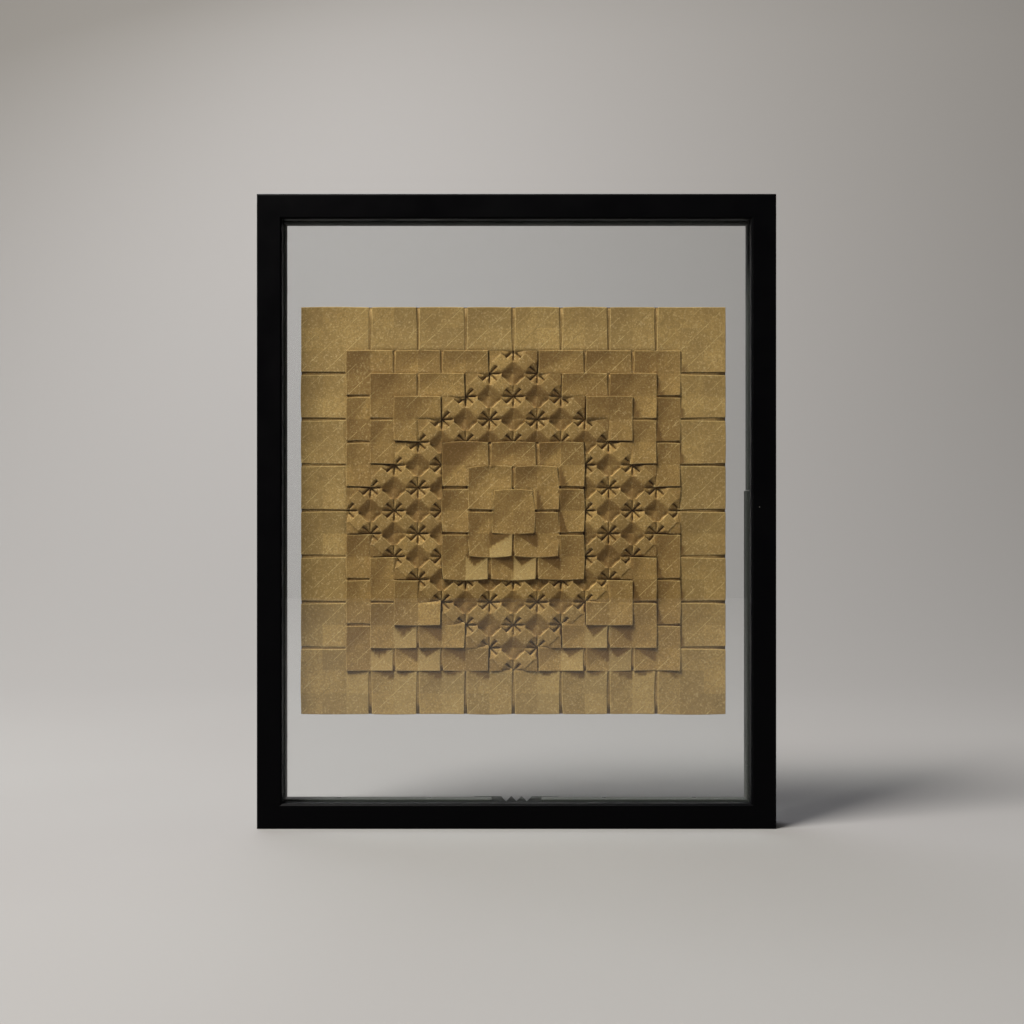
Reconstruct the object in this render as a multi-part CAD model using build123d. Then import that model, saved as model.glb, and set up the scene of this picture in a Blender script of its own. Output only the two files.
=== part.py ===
from build123d import *
import math
import os

# A folded paper tessellation held between two panes in a mitred, rabbeted frame that stands on its bottom rail.
# Lengths are millimetres. X runs across the frame, Z is up and the front faces -Y.
# The origin is the middle of the frame's underside.

# Frame
frame_width = 228.6
frame_height = 279.4
frame_depth = 18.0
face_width = 11.0
lip_depth = 5.0
rabbet_width = 4.5
outer_edge_round = 0.9
lip_bevel = 0.8

# Angle nails across the mitres
mitre_nail_leg = 5.5
mitre_nail_gauge = 0.6
mitre_nail_depth = 8.0

# Panes
pane_thickness = 2.0
pane_play = 0.6
pane_seam = 0.3

# Strips that hold the panes in from behind
strip_recess = 0.6
strip_edge = 0.4
strip_end_gap = 0.2
proud_strip = 0.7
right_joint_height = 9.2

# Flat brads through the strips, and the round nails of the hanger
brad_width = 1.2
brad_thickness = 1.0
brad_head_width = 2.0
brad_head_height = 0.4
brad_length = 8.0
brad_end_distance = 28.0
hanger_nail_shank_radius = 0.7
hanger_nail_head_radius = 1.7
hanger_nail_head_height = 0.6
hanger_nail_length = 9.0
hole_play = 0.05

# Toothed hanger
hanger_length = 40.0
hanger_foot = 1.6
hanger_thickness = 0.9
hanger_corner = 1.5
hanger_nail_end_distance = 4.0
hanger_nail_height = 3.4
notch_count = 3
notch_pitch = 4.7
notch_width = 4.5
notch_depth = 2.2
hanger_bay = 22.5

# Folded sheet: the bare glass that shows round it, and how far it sits off the frame's middle
side_margin = 8.8
end_margin = 38.1
sheet_shift_across = -1.4
sheet_shift_up = 0.3

# Folded sheet: its layout, counted in grid pitches from the middle
border_reach = 8.9
flower_reach = 7
ring_count = 3
centre_reach = 3

# Folded sheet: the tiles
border_level = 1.0
tile_lift = 0.3
ring_step = 0.3
centre_rise = 0.95
centre_step = 0.375
top_tile_rise = 0.075
groove_width = 1.1
centre_groove_width = 1.8
groove_inner_width = 0.7
groove_batter = 0.15
groove_depth = 0.55
back_pleat_width = 4.6
back_pleat_height = 0.3

# Folded sheet: the flowers, with heights from the border's level
flower_rise = 0.75
flower_slit = 0.25
petal_drop = 0.25
star_depth = 0.6
valley_depth = 0.4
field_depth = 0.7

# Folded sheet: the flower motif, in shares of a pitch
square_half_diagonal = 0.365
star_straight_ray = 0.455
star_diagonal_ray = (1 - square_half_diagonal) / 2
star_waist = 0.1
valley_overrun = 0.015
valley_half_diagonal = 1 - square_half_diagonal + valley_overrun

# Heights of the sheet's levels above its flat back; its highest fold touches the front pane
flower_level = border_level + flower_rise
inner_ring_rim = border_level + ring_count * ring_step + tile_lift
centre_level = border_level + centre_rise
top_tile_level = centre_level + centre_step + tile_lift + top_tile_rise
sheet_thickness = back_pleat_height + max(flower_level, inner_ring_rim, top_tile_level)

# Planes from front to back
front = -frame_depth / 2
back = frame_depth / 2
front_pane_face = front + lip_depth
sheet_front = front_pane_face + pane_thickness
sheet_back = sheet_front + sheet_thickness
strip_front = sheet_back + pane_thickness
strip_depth = back - strip_recess - strip_front

# Openings
sight_width = frame_width - 2 * face_width
sight_height = frame_height - 2 * face_width
rabbet_wall = face_width - rabbet_width
rabbet_opening_width = frame_width - 2 * rabbet_wall
rabbet_opening_height = frame_height - 2 * rabbet_wall
column_pitch = (sight_width - 2 * side_margin) / (2 * border_reach)
row_pitch = (sight_height - 2 * end_margin) / (2 * border_reach)
frame_middle = Pos(0, 0, frame_height / 2)


# Carrying a shape drawn on the bottom rail round to the other sides

def on_bottom(shape):
    return shape


def on_top(shape):
    return frame_middle * Rot(0, 180, 0) * Pos(0, 0, -frame_height / 2) * shape


def on_left(shape):
    return frame_middle * Rot(0, 90, 0) * Pos(0, 0, -frame_width / 2) * shape


def on_right(shape):
    return frame_middle * Rot(0, -90, 0) * Pos(0, 0, -frame_width / 2) * shape


# Frame rails

def moulding(length):
    """A length of rabbeted moulding along X, its outer edge on Z = 0 and both ends mitred."""
    outline = Polyline(
        (front, 0),
        (front, face_width),
        (front_pane_face, face_width),
        (front_pane_face, rabbet_wall),
        (back, rabbet_wall),
        (back, 0),
        close=True,
    )
    section = make_face(outline)
    outer_corner = section.vertices().sort_by_distance((front, 0))[0]
    section = fillet(outer_corner, outer_edge_round)
    lip_corner = section.vertices().sort_by_distance((front, face_width))[0]
    section = chamfer(lip_corner, lip_bevel)
    rail = extrude(Plane.YZ * section, length / 2, both=True)
    for end in (-1, 1):
        mitre = Plane(origin=(end * length / 2, 0, 0), z_dir=(end, 0, 1))
        rail = split(rail, mitre, keep=Keep.BOTTOM)
    return rail


def mitre_nail(side, level):
    """An angle nail whose two legs run into the two rails that meet at one corner."""
    inset = rabbet_wall / 2
    corner = Pos(side * (frame_width / 2 - inset), back, frame_height / 2 + level * (frame_height / 2 - inset))
    reach = mitre_nail_leg + mitre_nail_gauge
    slide = (reach - mitre_nail_gauge) / 2
    half_depth = mitre_nail_depth / 2
    across = Pos(-side * slide, -half_depth, 0) * Box(reach, mitre_nail_depth, mitre_nail_gauge)
    upright = Pos(0, -half_depth, -level * slide) * Box(mitre_nail_gauge, mitre_nail_depth, reach)
    return corner * (across + upright)


# Nails and brads, drawn along Z with their heads standing on Z = 0

hanging_down = (Align.CENTER, Align.CENTER, Align.MAX)
standing_up = (Align.CENTER, Align.CENTER, Align.MIN)


def flat_brad():
    """A brad of flat wire, its head wider than its shank along X."""
    shank = Box(brad_width, brad_thickness, brad_length, align=hanging_down)
    return shank + Box(brad_head_width, brad_thickness, brad_head_height, align=standing_up)


def brad_hole():
    """The slot that a flat brad leaves."""
    play = 2 * hole_play
    return Box(brad_width + play, brad_thickness + play, brad_length + hole_play, align=hanging_down)


def hanger_nail():
    """A round nail with a flat head."""
    shank = Cylinder(hanger_nail_shank_radius, hanger_nail_length, align=hanging_down)
    return shank + Cylinder(hanger_nail_head_radius, hanger_nail_head_height, align=standing_up)


def hanger_nail_hole():
    """The hole that the hanger's nail leaves."""
    return Cylinder(hanger_nail_shank_radius + hole_play, hanger_nail_length + hole_play, align=hanging_down)


# Panes

def pane(front_face):
    """A pane that stands on the bottom rail's rabbet, with its edges seamed."""
    width = rabbet_opening_width - pane_play
    height = rabbet_opening_height - pane_play
    glass = Box(width, pane_thickness, height, align=(Align.CENTER, Align.MIN, Align.MIN))
    glass = chamfer(glass.edges(), pane_seam)
    return Pos(0, front_face, rabbet_wall) * glass


# Retaining strips

def strip(start, end, stand):
    """A strip on the bottom rail's rabbet from start to end along X, standing past the lip by a given amount."""
    bar = Box(end - start, strip_depth, rabbet_width + stand, align=(Align.MIN, Align.MIN, Align.MIN))
    inner_edges = bar.faces().sort_by(Axis.Z)[-1].edges().filter_by(Axis.X)
    bar = chamfer(inner_edges, strip_edge)
    return Pos(start, strip_front, rabbet_wall) * bar


def on_strip(start, end, stand, shape):
    """A copy of a shape near each end of a strip, on its inner face."""
    places = (start + brad_end_distance, end - brad_end_distance)
    return [Pos(place, strip_front + strip_depth / 2, face_width + stand) * shape for place in places]


# Folded sheet, drawn flat with its face up and its middle on the origin

def grid(column, row):
    """A point of the fold grid, counted in pitches from the sheet's middle."""
    return (column * column_pitch, row * row_pitch)


def grid_square(reach):
    """A square of the grid that reaches equally far from the middle on all four sides."""
    return Rectangle(2 * reach * column_pitch, 2 * reach * row_pitch)


def groove(inner, outer, level, width, pitch):
    """The open pleat between two tiles, flaring along +Y from the inner reach to past the outer one."""
    top = level + 2 * tile_lift
    floor = level - groove_depth
    past = 2 * outer - inner
    ends = ((inner, groove_inner_width), (past, 2 * width - groove_inner_width))
    sections = []
    for reach, opening in ends:
        mouth = opening / 2
        foot = mouth - groove_batter
        slot = Polygon((-mouth, top), (mouth, top), (foot, floor), (-foot, floor), align=None)
        sections.append(Plane(origin=(0, reach * pitch, 0), x_dir=(1, 0, 0), z_dir=(0, -1, 0)) * slot)
    return loft(sections, ruled=True)


def tile_ring(inner, outer, level, width=groove_width):
    """A square of tiles, dished so that its outer edges stand up, with grooves between the tiles of each side."""
    rim = level + 2 * tile_lift
    slab = extrude(grid_square(outer), rim)
    dish = loft([Pos(0, 0, level) * grid_square(inner), Pos(0, 0, rim) * grid_square(2 * outer - inner)], ruled=True)
    upright = groove(inner, outer, level, width, row_pitch)
    crossing = Rot(0, 0, 90) * groove(inner, outer, level, width, column_pitch)
    cuts = [dish]
    last_line = inner - 1
    for line in range(-last_line, last_line + 1, 2):
        for turn in (0, 180):
            cuts.append(Pos(line * column_pitch, 0, 0) * Rot(0, 0, turn) * upright)
            cuts.append(Pos(0, line * row_pitch, 0) * Rot(0, 0, turn) * crossing)
    return slab - cuts


def octagon():
    """The eight-sided cell round a grid point, its corners on the four raised squares beside it."""
    short = 0.5 - square_half_diagonal
    half = [(0.5, -short), (0.5, short), (short, 0.5), (-short, 0.5)]
    corners = half + [(-across, -up) for across, up in half]
    return Polygon(*[grid(across, up) for across, up in corners], align=None)


def star():
    """An eight-rayed pit: petals that slope to the middle, parted by a cone drawn to a star's outline."""
    petals = loft([Vertex(0, 0, border_level - petal_drop), Pos(0, 0, border_level) * octagon()], ruled=True)
    well = Pos(0, 0, border_level) * extrude(octagon(), sheet_thickness)
    reaches = (star_straight_ray, star_waist, star_diagonal_ray * math.sqrt(2), star_waist)
    rays = []
    for step in range(16):
        angle = step * math.pi / 8
        reach = reaches[step % 4]
        rays.append(grid(reach * math.cos(angle), reach * math.sin(angle)))
    mouth = Pos(0, 0, border_level) * Polygon(*rays, align=None)
    return petals + well + loft([Vertex(0, 0, border_level - star_depth), mouth], ruled=True)


def hollow():
    """The shallow four-sided hollow between four raised squares, drawn on past their tops."""
    floor = border_level - valley_depth
    past = 1.2
    reach = past * valley_half_diagonal
    diamond = Polygon(grid(reach, 0), grid(0, reach), grid(-reach, 0), grid(0, -reach), align=None)
    return loft([Vertex(0, 0, floor), Pos(0, 0, floor + past * (flower_level - floor)) * diamond], ruled=True)


def flower_field():
    """The staircase outline of the flowers: every cell within their reach, counted along the grid."""
    field = Sketch()
    for columns in range(1, flower_reach + 1):
        rows = flower_reach + 1 - columns
        field += Rectangle(2 * columns * column_pitch, 2 * rows * row_pitch)
    return field


def flowers():
    """Raised squares, with star pits and shallow hollows in turn on the grid points between them."""
    pit = star()
    dip = hollow()
    cuts = []
    lines = range(-flower_reach, flower_reach + 1)
    for column in lines:
        for row in lines:
            covered = max(abs(column), abs(row)) < centre_reach
            beyond = abs(column) + abs(row) > flower_reach + 1
            if not covered and not beyond:
                motif = pit if (column + row) % 2 else dip
                cuts.append(Pos(*grid(column, row)) * motif)
    bed = extrude(offset(flower_field(), -flower_slit, kind=Kind.INTERSECTION), flower_level)
    return bed - cuts


def back_pleats():
    """The flat pleats behind the sheet, crossing in a lattice."""
    width = 2 * border_reach * column_pitch
    height = 2 * border_reach * row_pitch
    upright = Box(back_pleat_width, height, 2 * back_pleat_height)
    crossing = Box(width, back_pleat_width, back_pleat_height)
    pleats = []
    for line in range(1 - flower_reach, flower_reach, 2):
        pleats.append(Pos(line * column_pitch, 0, 0) * upright)
        pleats.append(Pos(0, line * row_pitch, 0) * crossing)
    return pleats


def folded_sheet():
    """The whole tessellation: bordering rings of tiles, a field of flowers and a stepped square in the middle."""
    rings = tile_ring(flower_reach, border_reach, border_level)
    for step in range(1, ring_count + 1):
        outer = flower_reach + 1 - step
        rings += tile_ring(outer - 1, outer, border_level + step * ring_step)
    rings -= Pos(0, 0, border_level - field_depth) * extrude(flower_field(), sheet_thickness)
    middle = extrude(grid_square(1), top_tile_level)
    for step in (0, 1):
        outer = centre_reach - step
        middle += tile_ring(outer - 1, outer, centre_level + step * centre_step, centre_groove_width)
    sheet = rings + flowers() + middle + back_pleats()
    facing = Plane(
        origin=(sheet_shift_across, sheet_back - back_pleat_height, frame_height / 2 + sheet_shift_up),
        x_dir=(1, 0, 0),
        z_dir=(0, -1, 0),
    )
    return facing.location * sheet


# Toothed hanger

hanger_nail_places = [side * (hanger_length / 2 - hanger_nail_end_distance) for side in (-1, 1)]


def toothed_hanger():
    """A flat steel hanger on the back of the bottom rail, its notches level with the opening's edge."""
    height = face_width - hanger_foot
    plate = Rectangle(hanger_length, height, align=(Align.CENTER, Align.MIN))
    plate = fillet(plate.vertices(), hanger_corner)
    notch = Polygon((-notch_width / 2, height), (0, height - notch_depth), (notch_width / 2, height), align=None)
    for index in range(notch_count):
        plate -= Pos((index - (notch_count - 1) / 2) * notch_pitch, 0) * notch
    for place in hanger_nail_places:
        plate -= Pos(place, hanger_nail_height - hanger_foot) * Circle(hanger_nail_shank_radius + hole_play)
    facing = Plane(origin=(0, back, hanger_foot), x_dir=(1, 0, 0), z_dir=(0, -1, 0))
    return extrude(facing * plate, -hanger_thickness)


def on_hanger(shape):
    """Copies of a shape drawn along Z, laid along Y on the hanger's back at its nail holes."""
    face = back + hanger_thickness
    return [Pos(place, face, hanger_nail_height) * Rot(-90, 0, 0) * shape for place in hanger_nail_places]


# Assembly

half_opening = rabbet_opening_width / 2 - strip_end_gap
half_side = rabbet_opening_height / 2 - rabbet_width - strip_end_gap
half_bay = hanger_bay / 2

strip_runs = {
    "top_strip": (on_top, -half_opening, half_opening, 0),
    "left_strip": (on_left, -half_side, half_side, 0),
    "right_upper_strip": (on_right, right_joint_height + strip_end_gap, half_side, 0),
    "right_lower_strip": (on_right, -half_side, right_joint_height, proud_strip),
    "bottom_left_strip": (on_bottom, -half_opening, -half_bay, 0),
    "bottom_right_strip": (on_bottom, half_bay, half_opening, 0),
}

brads = []
brad_holes = []
strips = {}
for name, (carry, start, end, stand) in strip_runs.items():
    holes = on_strip(start, end, stand, brad_hole())
    strips[name] = carry(strip(start, end, stand) - holes)
    brad_holes += [carry(hole) for hole in holes]
    brads += [carry(brad) for brad in on_strip(start, end, stand, flat_brad())]

mitre_nails = [mitre_nail(side, level) for side in (-1, 1) for level in (-1, 1)]
cuts = mitre_nails + brad_holes + on_hanger(hanger_nail_hole())

parts = {
    "top_rail": on_top(moulding(frame_width)) - cuts,
    "bottom_rail": on_bottom(moulding(frame_width)) - cuts,
    "left_stile": on_left(moulding(frame_height)) - cuts,
    "right_stile": on_right(moulding(frame_height)) - cuts,
    "mitre_nails": Compound(mitre_nails),
    "front_glass": pane(front_pane_face),
    "folded_sheet": folded_sheet(),
    "back_glass": pane(sheet_back),
    **strips,
    "strip_brads": Compound(brads),
    "toothed_hanger": toothed_hanger(),
    "hanger_nails": Compound(on_hanger(hanger_nail())),
}

os.makedirs("parts", exist_ok=True)
for name, shape in parts.items():
    export_step(shape, f"parts/{name}.step")
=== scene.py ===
# %% [markdown]
# # A folded paper tessellation between two panes
#
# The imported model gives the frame, the panes, the strips and the hanger. This lesson keeps those solids,
# gives each of them a proper material, and makes the folded paper again as one finely folded surface.
# Every shape is worked out with numpy as whole arrays, in millimetres, and handed to Blender once.

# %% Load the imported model
from collections import namedtuple

import bpy
import numpy as np
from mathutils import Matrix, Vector


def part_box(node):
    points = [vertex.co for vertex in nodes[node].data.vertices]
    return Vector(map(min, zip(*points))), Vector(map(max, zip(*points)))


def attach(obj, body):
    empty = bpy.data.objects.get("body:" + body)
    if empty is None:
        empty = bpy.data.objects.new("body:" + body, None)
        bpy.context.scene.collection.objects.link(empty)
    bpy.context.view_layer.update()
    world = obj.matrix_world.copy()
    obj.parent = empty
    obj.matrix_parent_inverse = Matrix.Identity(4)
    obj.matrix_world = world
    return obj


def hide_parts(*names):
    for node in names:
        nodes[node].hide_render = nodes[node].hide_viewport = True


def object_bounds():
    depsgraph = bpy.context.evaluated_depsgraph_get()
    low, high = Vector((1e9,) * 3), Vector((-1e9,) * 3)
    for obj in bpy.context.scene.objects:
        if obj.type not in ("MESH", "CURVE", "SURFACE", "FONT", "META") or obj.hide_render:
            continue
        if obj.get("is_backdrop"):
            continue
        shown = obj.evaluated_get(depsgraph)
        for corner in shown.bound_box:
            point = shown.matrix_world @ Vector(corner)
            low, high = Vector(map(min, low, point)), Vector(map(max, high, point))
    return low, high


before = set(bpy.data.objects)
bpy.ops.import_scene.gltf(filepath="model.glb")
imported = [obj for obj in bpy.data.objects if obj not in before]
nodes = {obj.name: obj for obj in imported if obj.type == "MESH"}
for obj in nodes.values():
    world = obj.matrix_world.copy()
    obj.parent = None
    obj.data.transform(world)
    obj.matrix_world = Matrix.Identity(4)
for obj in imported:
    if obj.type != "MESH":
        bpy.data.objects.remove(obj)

cad_low, cad_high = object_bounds()
MM = 0.001
print("nodes:", ", ".join(sorted(nodes)))

# %% [markdown]
# ## The camera
#
# The photograph looks straight at the frame from a little over half a metre. The lens follows from two
# measures: how wide a strip of the world the picture takes in at the frame's face, and how far away the
# camera stands. Placing the camera by such real lengths is easier to trust than turning the view by hand.

# %% Camera
PICTURE_WIDTH = 450.1 * MM
CAMERA_DISTANCE = 600.0 * MM
AIM_ACROSS = -2.0 * MM
AIM_UP = -0.3 * MM

frame_middle = (cad_low + cad_high) / 2
camera_data = bpy.data.cameras.new("camera")
camera_data.lens = camera_data.sensor_width * CAMERA_DISTANCE / PICTURE_WIDTH
camera = bpy.data.objects.new("camera", camera_data)
camera.location = (AIM_ACROSS, cad_low.y - CAMERA_DISTANCE, frame_middle.z + AIM_UP)
camera.rotation_euler = Vector((0, 1, 0)).to_track_quat("-Z", "Y").to_euler()
bpy.context.scene.collection.objects.link(camera)
bpy.context.scene.camera = camera
print("lens", round(camera_data.lens, 1), "mm")

# %% [markdown]
# ## Small helpers
#
# Colours are written as they look on a screen and turned into the linear values that shaders want. One
# function adds a shader node with its settings and links and hands back its output, so that a material
# reads as a list of steps. Another turns arrays of points and four-sided faces into a Blender object
# without visiting the points one by one.

# %% Helpers for materials


def srgb(code):
    """A screen colour such as '#a08050' as a linear colour with alpha."""
    screen = np.array([int(code[start:start + 2], 16) for start in (1, 3, 5)]) / 255
    linear = np.where(screen <= 0.04045, screen / 12.92, ((screen + 0.055) / 1.055) ** 2.4)
    return (*linear.tolist(), 1.0)


def per_metre(size):
    """How many blots of this size in millimetres lie in a metre, which is the scale of a pattern."""
    return 1000 / size


def new_material(name):
    """An empty node material."""
    material = bpy.data.materials.new(name)
    material.use_nodes = True
    material.node_tree.nodes.clear()
    return material


def add(owner, kind, feeds=None, gives=0, **settings):
    """Add a node to a material or to the sky and return its first output, or the one that gives says.

    feeds holds a value for each socket, or the output that drives it; settings are the node's properties.
    """
    node = owner.node_tree.nodes.new(kind)
    for name, value in settings.items():
        setattr(node, name, value)
    for key, value in (feeds or {}).items():
        if isinstance(value, bpy.types.NodeSocket):
            owner.node_tree.links.new(value, node.inputs[key])
        else:
            node.inputs[key].default_value = value
    return node.outputs[gives] if node.outputs else None


# A mix node keeps its colours in these sockets, behind those for numbers and vectors
FIRST_COLOUR = 6
SECOND_COLOUR = 7
MIXED_COLOUR = 2

# %% Helpers for meshes


def grid_quads(patches, rows, columns):
    """Corner numbers of the quads of many equal grids of points, patch after patch."""
    corner = np.arange(patches * rows * columns).reshape(patches, rows, columns)
    sides = (corner[:, :-1, :-1], corner[:, :-1, 1:], corner[:, 1:, 1:], corner[:, 1:, :-1])
    return np.stack(sides, axis=-1).reshape(-1, 4)


def mesh_object(name, points, quads, smooth=True):
    """A mesh object from points in metres and four corner numbers per face; smooth may differ by face."""
    mesh = bpy.data.meshes.new(name)
    mesh.vertices.add(len(points))
    mesh.vertices.foreach_set("co", points.astype(np.float32).ravel())
    mesh.loops.add(quads.size)
    mesh.loops.foreach_set("vertex_index", quads.astype(np.int32).ravel())
    mesh.polygons.add(len(quads))
    mesh.polygons.foreach_set("loop_start", np.arange(0, quads.size, 4, dtype=np.int32))
    mesh.polygons.foreach_set("use_smooth", np.full(len(quads), True) & smooth)
    mesh.update(calc_edges=True)
    piece = bpy.data.objects.new(name, mesh)
    bpy.context.scene.collection.objects.link(piece)
    return piece


def number_layer(piece, name, values):
    """Keep one number per point of a mesh under a name that its material can read."""
    layer = piece.data.attributes.new(name, "FLOAT", "POINT")
    layer.data.foreach_set("value", values.astype(np.float32))


# %% [markdown]
# ## Floor and backdrop
#
# The photograph shows a pale seamless ground, so the floor runs back and sweeps up into a wall in one
# smooth profile. The paint is matt and a little darker near the frame, because a bright floor would throw
# light up into the folds and wash them out.

# %% Floor and backdrop, in metres
FLOOR_FRONT = -1.6
FLOOR_BACK = 0.5
SWEEP_RADIUS = 1.1
SWEEP_STEPS = 24
WALL_TOP = 2.4
STAGE_HALF_WIDTH = 2.2
PALER_BACK = 0.6
PALER_UP = 0.9
GROUND_BLOT = 330


def sweep_profile():
    """Points (y, z) of a floor that turns up into a wall through a quarter circle."""
    turn = np.linspace(0, np.pi / 2, SWEEP_STEPS)
    arc_y = FLOOR_BACK + SWEEP_RADIUS * np.sin(turn)
    arc_z = SWEEP_RADIUS * (1 - np.cos(turn))
    ends = np.array([[FLOOR_FRONT, 0.0], [FLOOR_BACK + SWEEP_RADIUS, WALL_TOP]])
    return np.concatenate([ends[:1], np.stack([arc_y, arc_z], axis=1), ends[1:]])


profile = sweep_profile()
stage_points = np.zeros((len(profile), 2, 3))
stage_points[:, :, 0] = [STAGE_HALF_WIDTH, -STAGE_HALF_WIDTH]
stage_points[:, :, 1:] = profile[:, None, :]
backdrop = mesh_object("backdrop", stage_points.reshape(-1, 3), grid_quads(1, len(profile), 2))
backdrop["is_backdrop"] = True

# Matt paint: no gloss, only slow changes of tone, paler to the back and up the wall
ground = new_material("pale_ground")
ground_place = add(ground, "ShaderNodeTexCoord", gives="Object")
ground_axes = add(ground, "ShaderNodeSeparateXYZ", {0: ground_place}).node.outputs
ground_noise = add(ground, "ShaderNodeTexNoise", {"Vector": ground_place, "Scale": per_metre(GROUND_BLOT)})
ground_colour = srgb("#767574")
for value, low, high, colour in (
    (ground_noise, 0.3, 0.7, "#7a7a79"),
    (ground_axes["Y"], 0.0, PALER_BACK, "#7e7d7b"),
    (ground_axes["Z"], 0.0, PALER_UP, "#9c9a97"),
):
    share = add(ground, "ShaderNodeMapRange", {"Value": value, "From Min": low, "From Max": high})
    feeds = {0: share, FIRST_COLOUR: ground_colour, SECOND_COLOUR: srgb(colour)}
    ground_colour = add(ground, "ShaderNodeMix", feeds, MIXED_COLOUR, data_type="RGBA")
paint_shader = add(ground, "ShaderNodeBsdfPrincipled", {"Base Color": ground_colour, "Roughness": 0.9})
add(ground, "ShaderNodeOutputMaterial", {"Surface": paint_shader})
backdrop.data.materials.append(ground)
print("backdrop of", len(profile) - 1, "strips")

# %% [markdown]
# ## Light
#
# A large lamp high on the left rakes across the sheet, which is what makes shallow folds show: a lamp
# beside the camera would flatten them. A weak lamp from the right and a pale sky fill the shadows. A
# third lamp behind the frame lights the ground there, and so softens the shadow that the frame casts on
# it.

# %% Light


def soft_lamp(name, place, target, size, power, colour):
    """A square area lamp of this size in metres and power in watts, aimed from place at target."""
    data = bpy.data.lights.new(name, "AREA")
    data.size = size
    data.energy = power
    data.color = srgb(colour)[:3]
    lamp = bpy.data.objects.new(name, data)
    lamp.location = place
    lamp.rotation_euler = (Vector(target) - Vector(place)).to_track_quat("-Z", "Y").to_euler()
    bpy.context.scene.collection.objects.link(lamp)


behind_frame = (0.0, 0.3, 0.0)
soft_lamp("key_lamp", (-0.72, -0.55, 1.53), frame_middle, size=0.6, power=73.0, colour="#fffaf4")
soft_lamp("fill_lamp", (1.3, -1.1, 0.7), frame_middle, size=1.0, power=1.0, colour="#fff8f0")
soft_lamp("back_lamp", (-0.4, 0.75, 1.3), behind_frame, size=0.9, power=14.0, colour="#f6f7ff")

sky = bpy.data.worlds.new("sky")
bpy.context.scene.world = sky
sky.use_nodes = True
sky.node_tree.nodes.clear()
sky_light = add(sky, "ShaderNodeBackground", {"Color": srgb("#e8e4de"), "Strength": 0.08})
add(sky, "ShaderNodeOutputWorld", {"Surface": sky_light})
bpy.context.scene.view_settings.view_transform = "Standard"
print("three lamps and a sky")

# %% [markdown]
# ## The fold grid
#
# The sheet is folded on a grid of nearly square pitches, almost nine from the middle to each edge. Rings
# of pleated tiles lie one on another towards the middle, a diamond of star flowers runs between them, and
# a stepped square of tiles stands in the centre. Each ring is a few numbers, so the whole layout is a
# short rule and not a drawing. Heights are millimetres above the sheet's flat back, and the box of the
# solid that the sheet stands for gives its place.

# %% Fold grid
# Reaches are counted in pitches from the middle
BORDER_REACH = 8.9
FLOWER_REACH = 7
CENTRE_REACH = 3
BACK_PLEAT_HEIGHT = 0.3

sheet_low, sheet_high = (np.array(corner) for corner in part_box("folded_sheet"))
sheet_middle = (sheet_low + sheet_high) / 2
sheet_size = (sheet_high - sheet_low)[[0, 2]] / MM
pitch = sheet_size / (2 * BORDER_REACH)
mean_pitch = pitch.mean()
print("pitch across and up:", pitch.round(2), "mm")


def in_frame(points):
    """Sheet millimetres (across, up, height towards the viewer) as points of the frame, in metres."""
    flat_back = sheet_high[1] - BACK_PLEAT_HEIGHT * MM
    x = sheet_middle[0] + MM * points[..., 0]
    y = flat_back - MM * points[..., 2]
    z = sheet_middle[2] + MM * points[..., 1]
    return np.stack([x, y, z], axis=-1)


# %% [markdown]
# ## The rings
#
# A ring runs from its inner to its outer grid line at a level in millimetres. Its tiles lift towards the
# outer edge, rise in a vee to the grooves between them, and rise again at the inner edge to the ring that
# covers them. A facet reaches a share of a pitch below the covering ring, and its tent has an apex. Free
# edges of the centre's tiles are drawn in and bulge, and what the ring above covers sinks out of sight.
# The gap is half of a groove. The painted shading says how dark the painted shade on a tile's upper
# left corner is, and how pale the painted highlight beside its tents. Only what differs from the usual
# values is written at a ring.

# %% Rings
SHAPE = {"lift": 0.45, "vee": 0.35, "inner_rise": 0.3, "rise": 0.4, "facet": 0.42, "gap": 0.5}
# The last value sets the painted shade on a tile's upper left corner and the painted highlight by its tents
EDGES = {"apex": 0.35, "draw_in": 0.0, "cover": 0.0, "sink": 0.6, "bulge": 0.15, "tint": 0.3}
fields = ["inner", "outer", "level", *SHAPE, *EDGES]
Ring = namedtuple("Ring", fields, defaults=[*SHAPE.values(), *EDGES.values()])

FLAT = {"inner_rise": 0.0, "rise": 0.0}
CENTRE = {
    "lift": 0.55,
    "vee": 0.5,
    "inner_rise": 0.5,
    "rise": 0.6,
    "facet": 0.64,
    "gap": 0.58,
    "bulge": 0.5,
    "tint": 0.7,
}
RINGS = [
    Ring(7, BORDER_REACH, 0.75, lift=0.35, vee=0.3, facet=0.42, gap=0.58, tint=0.2),
    Ring(6, 7, 0.95, facet=0.66, tint=0.5),
    Ring(5, 6, 1.25, facet=0.8, tint=0.5),
    Ring(4, 5, 1.6, sink=1.6, **FLAT),
    Ring(2, 3, 1.2, draw_in=0.4, cover=1.3, **CENTRE),
    Ring(1, 2, 1.55, apex=0.02, draw_in=1.3, cover=1.7, **CENTRE),
]
TOP_TILE = Ring(0, 1, 2.05, vee=0.05, gap=0.0, draw_in=1.7, bulge=0.5, tint=0.5, **FLAT)

# Free edges are drawn in most on the left and right, and hardly at the bottom: top, left, bottom, right
DRAW_IN_BY_SIDE = np.array([0.65, 1.0, 0.1, 1.0])
print(len(RINGS), "rings and a top tile")

# %% [markdown]
# ## Height and shading of a ring
#
# A ring's surface is a height over the grid: its level, a lift towards the outer edge, a shallow vee
# along each tile, and on the lower and right sides the triangular facets where the pleats beneath push
# the paper up. A painted shade darkens each facet, and a painted highlight pales a tent's far side, which
# faces the light. That painted shading goes with the height, as a number below zero for darker and above
# zero for paler.

# %% Height and shading of a ring
# Lengths are shares of a pitch, and for the dish a share of the ring's width
# Strength of the painted shade over the facets and of the painted highlight beside the tents
FACET_SHADE = 0.85
FACET_LIT = 1.1
FACET_EDGE = 0.05
LINE_SLACK = 0.05
LEAST_SHARE = 1e-3
COVER_FADE = 0.1
DISH_REACH = 0.625


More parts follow.
